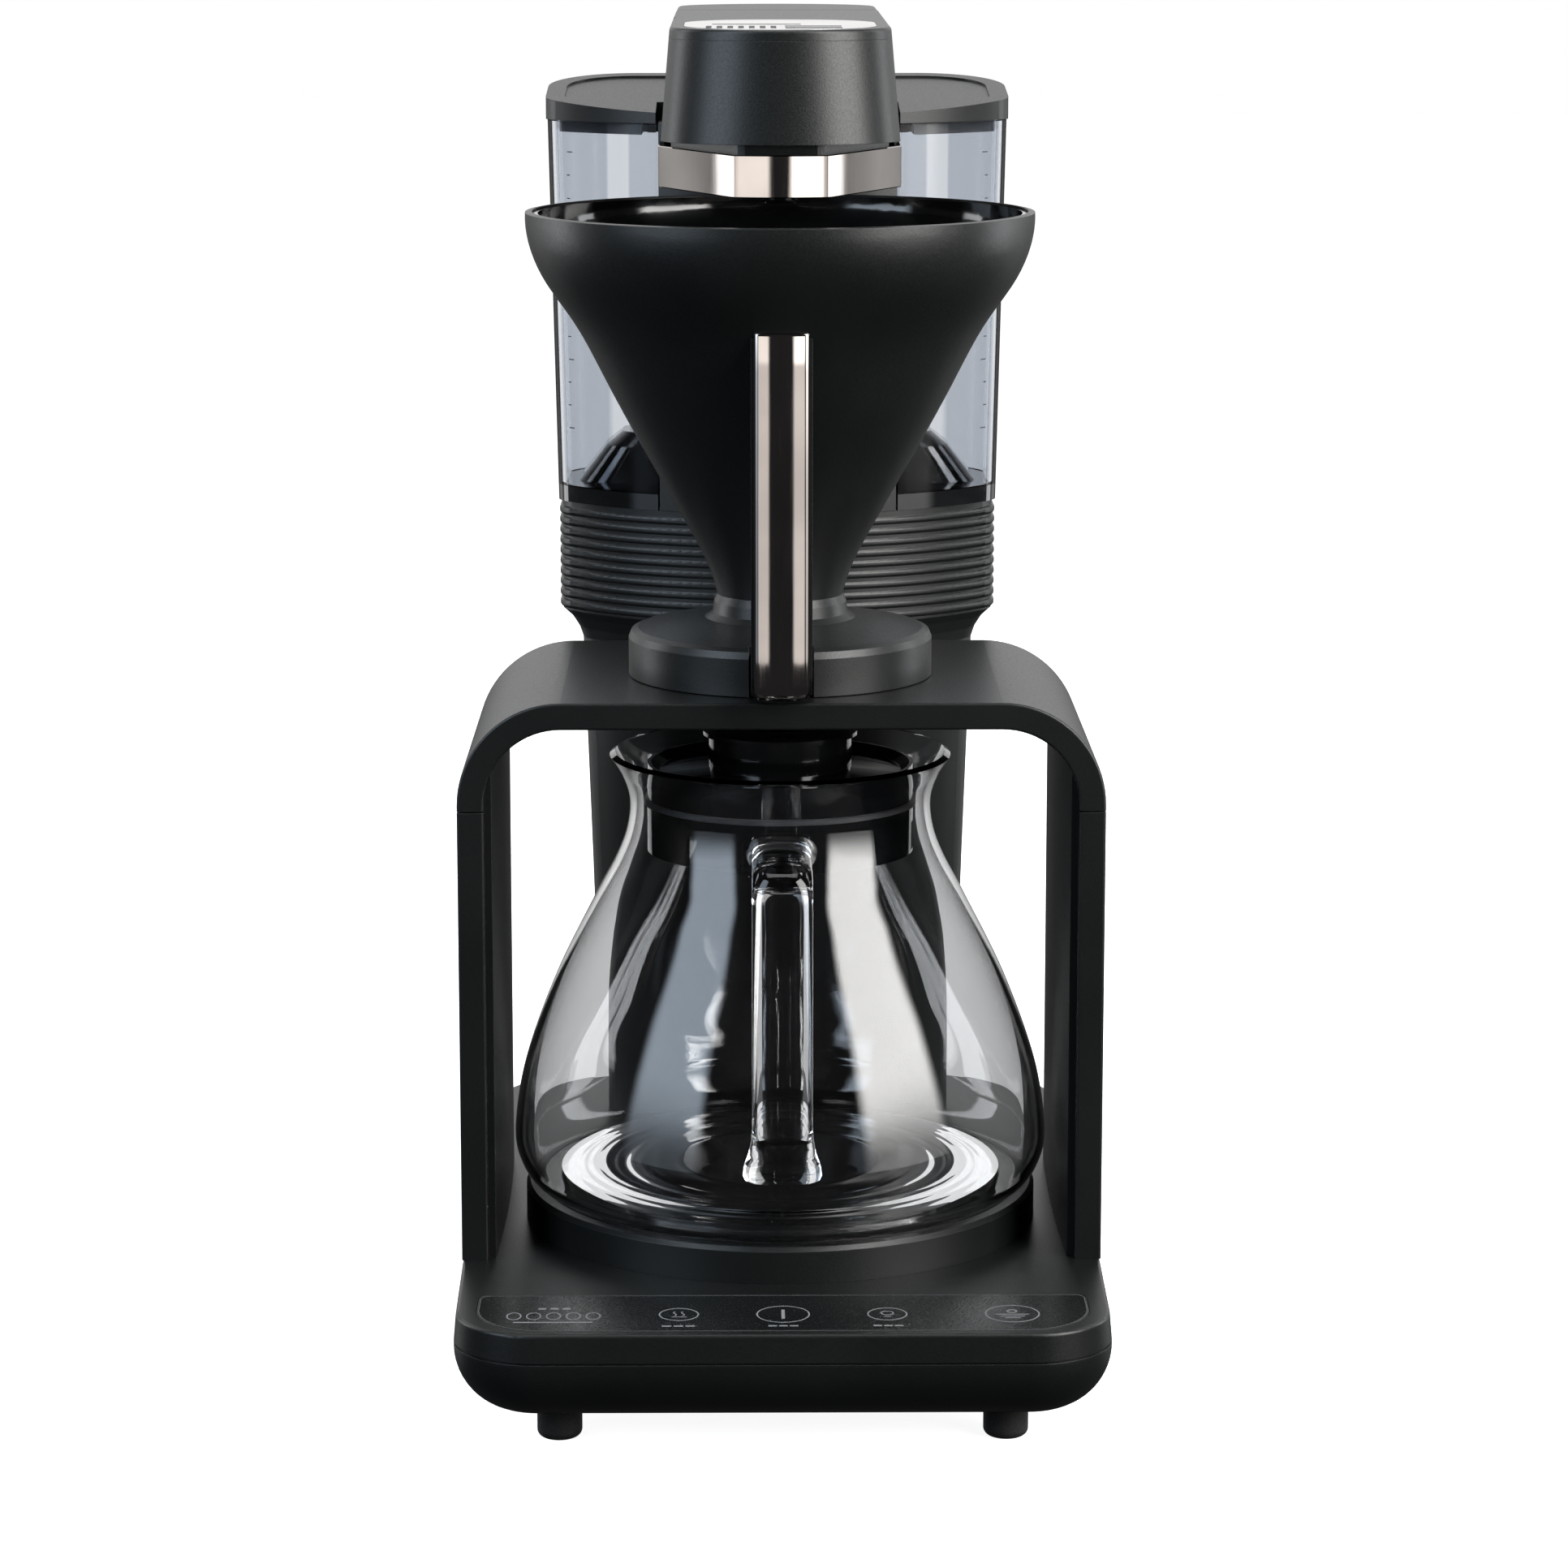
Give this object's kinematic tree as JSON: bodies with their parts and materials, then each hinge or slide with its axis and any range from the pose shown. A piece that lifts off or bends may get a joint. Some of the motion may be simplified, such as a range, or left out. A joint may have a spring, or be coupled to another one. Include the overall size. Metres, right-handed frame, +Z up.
{
  "type": "pour-over filter coffee machine",
  "caption": "Household pour-over coffee machine: filter cone on an arch over a glass carafe, water tank on a rear column, brewing head with rotating spout.",
  "frame": {"origin": "on the table, under the middle of the base", "axes": "+Z up, +Y to the back of the machine, +X to the right seen from the front"},
  "size_m": [0.219, 0.335, 0.4634],
  "materials": {
    "satin_black": "fine-grained satin black moulding",
    "gloss_black": "polished black moulding",
    "dark_nickel": "warm dark nickel plating",
    "light_metal": "light satin metal",
    "clear_glass": "clear borosilicate glass",
    "smoke_tank": "smoke-blue clear plastic",
    "rubber_black": "soft black rubber",
    "silicone": "translucent silicone",
    "steel": "zinc plated steel",
    "coated_plate": "non-stick coated aluminium",
    "board_green": "circuit board",
    "heater_alloy": "cast aluminium",
    "gear_nylon": "natural nylon"
  },
  "bodies": {
    "machine": {"base_tub": "satin_black", "base_top_cover": "satin_black", "base_floor_plate": "satin_black", "rubber_feet": "rubber_black", "case_screws": "steel", "touch_panel": "gloss_black", "touch_board": "board_green", "power_board": "board_green", "cord_gland": "rubber_black", "flow_heater": "heater_alloy", "plate_plinth": "satin_black", "warming_plate": "coated_plate", "plate_heater": "heater_alloy", "thermostat": "steel", "left_leg_post": "satin_black", "right_leg_post": "satin_black", "left_leg_cover": "satin_black", "right_leg_cover": "satin_black", "arch_bridge": "satin_black", "bridge_screws": "steel", "drip_collar": "satin_black", "column_front_shell": "satin_black", "column_rear_cover": "satin_black", "ribbed_collar": "satin_black", "spine_housing": "satin_black", "coupling_seal": "silicone", "pump": "steel", "inlet_hose": "silicone", "riser_hose": "silicone", "head_housing": "satin_black", "head_top_cover": "satin_black", "head_inlay": "light_metal", "head_chassis": "satin_black", "head_band": "dark_nickel", "spray_deck": "satin_black", "spout_motor": "steel", "spout_bearing": "gear_nylon"},
    "spout": {"rotating_spout": "gloss_black", "spout_gear": "gear_nylon"},
    "pinion": {"motor_pinion": "gear_nylon"},
    "tank": {"water_tank": "smoke_tank", "tank_base": "gloss_black", "tank_strainer": "gear_nylon", "tank_valve_spring": "steel"},
    "tank_valve": {"tank_valve_plunger": "gear_nylon"},
    "lid": {"tank_lid": "satin_black", "lid_hump": "satin_black", "lid_seal": "silicone", "lid_hinge_pins": "steel"},
    "filter_holder": {"filter_cone": "satin_black", "filter_insert": "gloss_black", "filter_saucer": "satin_black", "handle_backing": "satin_black", "handle_strip": "dark_nickel", "drip_valve_spring": "steel"},
    "drip_valve": {"drip_valve_plunger": "gear_nylon"},
    "carafe": {"carafe_glass": "clear_glass", "carafe_handle": "clear_glass"},
    "carafe_stopper": {"carafe_lid": "gloss_black", "carafe_lid_seal": "silicone"}
  },
  "joints": [
    {"name": "carafe_pull", "type": "slide", "parent": "machine", "child": "carafe", "axis": [0, -1, 0], "range_m": [0, 0.24]},
    {"name": "carafe_lid_turn", "type": "hinge", "parent": "carafe", "child": "carafe_stopper", "pos_m": [0, -0.0235, 0.2], "axis": [0, 0, 1], "range_deg": [0, 90]},
    {"name": "filter_holder_pull", "type": "slide", "parent": "machine", "child": "filter_holder", "axis": [0, -1, 0], "range_m": [0, 0.16]},
    {"name": "drip_valve_lift", "type": "slide", "parent": "filter_holder", "child": "drip_valve", "axis": [0, 0, 1], "range_m": [0, 0.003], "stiffness_N_per_m": 120, "springref_m": -0.004, "deforming": ["drip_valve_spring"]},
    {"name": "spout_spin", "type": "hinge", "parent": "machine", "child": "spout", "pos_m": [0, -0.0235, 0.41], "axis": [0, 0, 1], "continuous": true},
    {"name": "pinion_spin", "type": "hinge", "parent": "machine", "child": "pinion", "pos_m": [0.02, -0.0235, 0.428], "axis": [0, 0, 1], "continuous": true},
    {"name": "tank_lift", "type": "slide", "parent": "machine", "child": "tank", "axis": [0, 0, 1], "range_m": [0, 0.16]},
    {"name": "tank_valve_lift", "type": "slide", "parent": "tank", "child": "tank_valve", "axis": [0, 0, 1], "range_m": [0, 0.003], "stiffness_N_per_m": 120, "springref_m": -0.004, "deforming": ["tank_valve_spring"]},
    {"name": "tank_lid_open", "type": "hinge", "parent": "tank", "child": "lid", "pos_m": [0, 0.163, 0.427], "axis": [-1, 0, 0], "range_deg": [0, 95]}
  ],
  "couplings": [
    {"joint": "pinion_spin", "follows": "spout_spin", "ratio": -2.3333}
  ]
}
